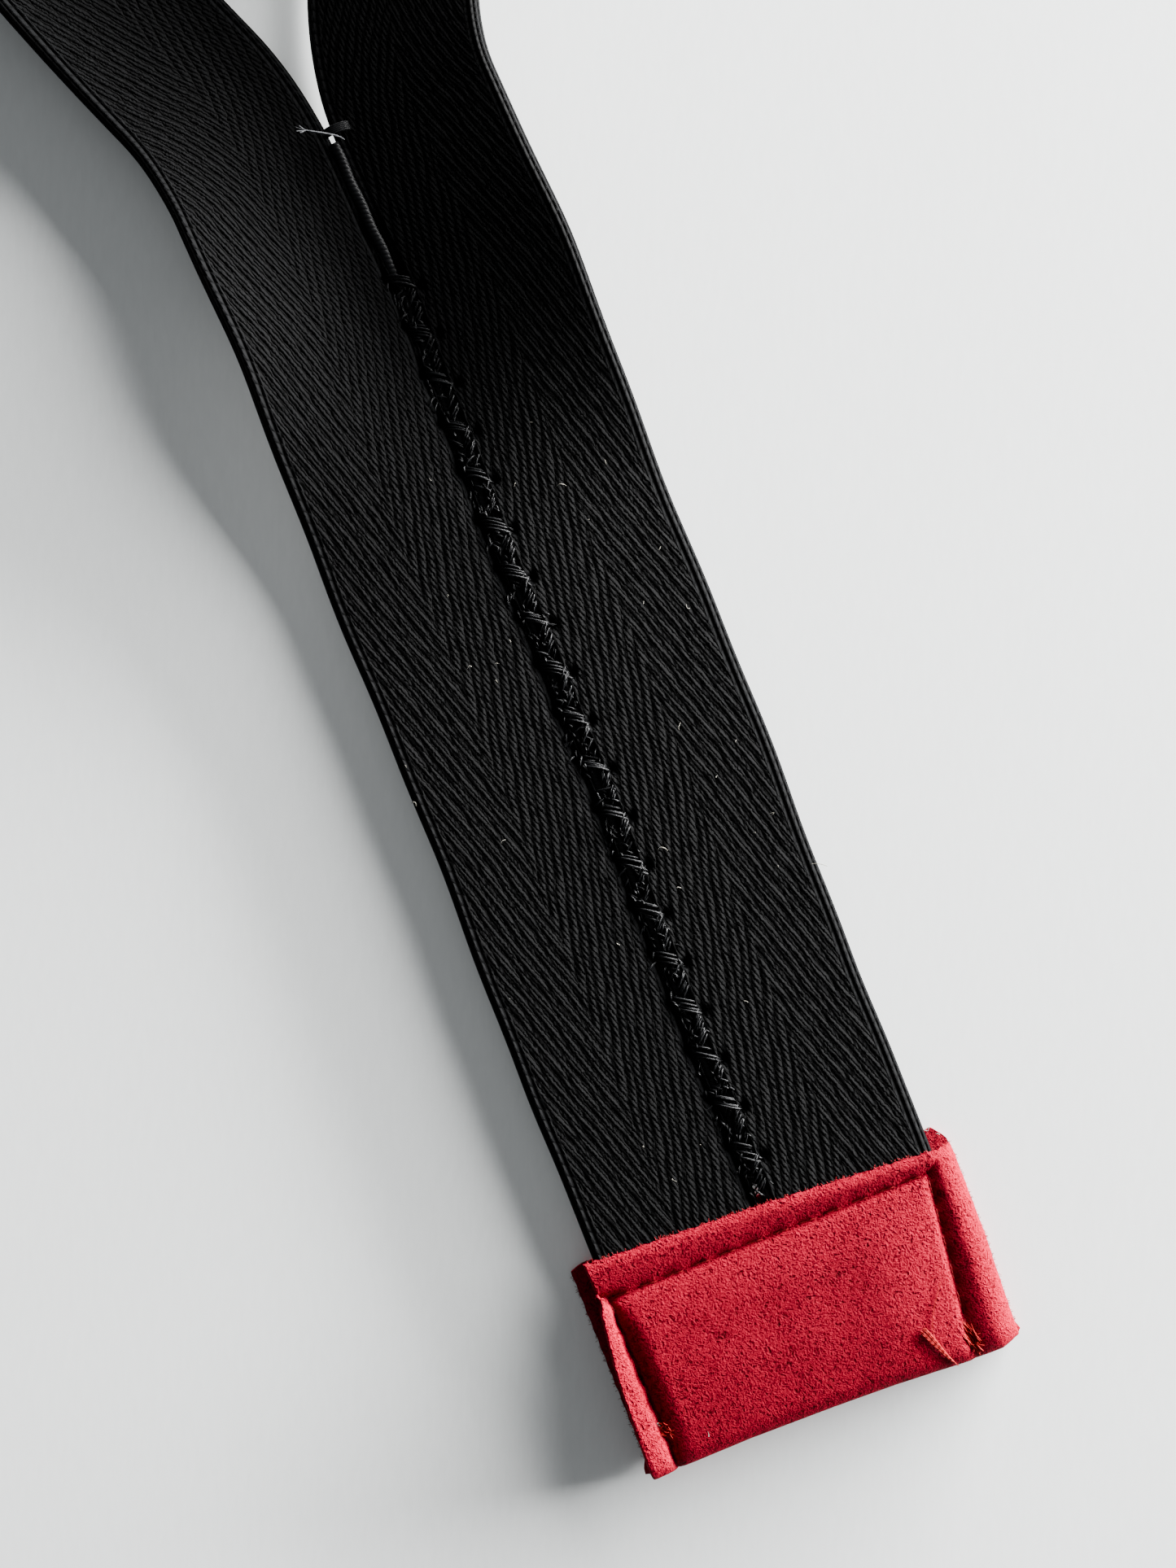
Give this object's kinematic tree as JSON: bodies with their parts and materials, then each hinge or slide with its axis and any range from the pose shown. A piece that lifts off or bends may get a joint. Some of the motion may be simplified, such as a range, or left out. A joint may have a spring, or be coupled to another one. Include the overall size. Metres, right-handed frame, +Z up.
{
  "type": "neck strap",
  "caption": "Neck strap of black herringbone tape, its two ends joined edge to edge by a zigzag seam and sewn into a padded red suede tab, with a neck loop that stands on its edge.",
  "frame": {"origin": "middle of the padded tab, on its back face, which is the plane that the strap rests on", "axes": "+X across the band to the right, +Y along the band from the tab towards the neck loop, +Z up, away from the rest plane"},
  "size_m": [0.1288, 0.4795, 0.025],
  "materials": {
    "tape": "black cotton herringbone weave, matt, with a soft sheen on the ribs",
    "seam_thread": "black twisted polyester thread, satin",
    "tail_thread": "pale grey loose thread, matt",
    "suede": "red brushed suede with a short worm-like nap",
    "topstitch_thread": "red sewing thread, satin",
    "pad": "grey felt padding, hidden"
  },
  "bodies": {
    "band": {"tape_left_run": "tape", "tape_right_run": "tape", "seam_needle_thread_run": "seam_thread", "seam_bobbin_thread_run": "seam_thread"},
    "tab": {"tape_left_tab_end": "tape", "tape_right_tab_end": "tape", "seam_needle_thread_tab": "seam_thread", "seam_bobbin_thread_tab": "seam_thread", "tab_cover": "suede", "tab_pad": "pad", "tab_topstitch_needle_thread": "topstitch_thread", "tab_topstitch_bobbin_thread": "topstitch_thread", "tab_backtack_left": "topstitch_thread", "tab_backtack_right": "topstitch_thread", "tab_thread_tail": "topstitch_thread"},
    "neck_loop": {"tape_neck_loop": "tape", "seam_needle_thread_yoke": "seam_thread", "seam_bobbin_thread_yoke": "seam_thread", "crotch_bar_tack": "seam_thread", "crotch_thread_tail": "tail_thread"}
  },
  "joints": [
    {"name": "tab_fold", "type": "hinge", "parent": "band", "child": "tab", "pos_m": [0, 0.032, 0.0046], "axis": [-1, 0, 0], "range_deg": [0, 120]},
    {"name": "neck_loop_fold", "type": "hinge", "parent": "band", "child": "neck_loop", "pos_m": [0, 0.14, 0.0046], "axis": [1, 0, 0], "range_deg": [0, 90]}
  ]
}
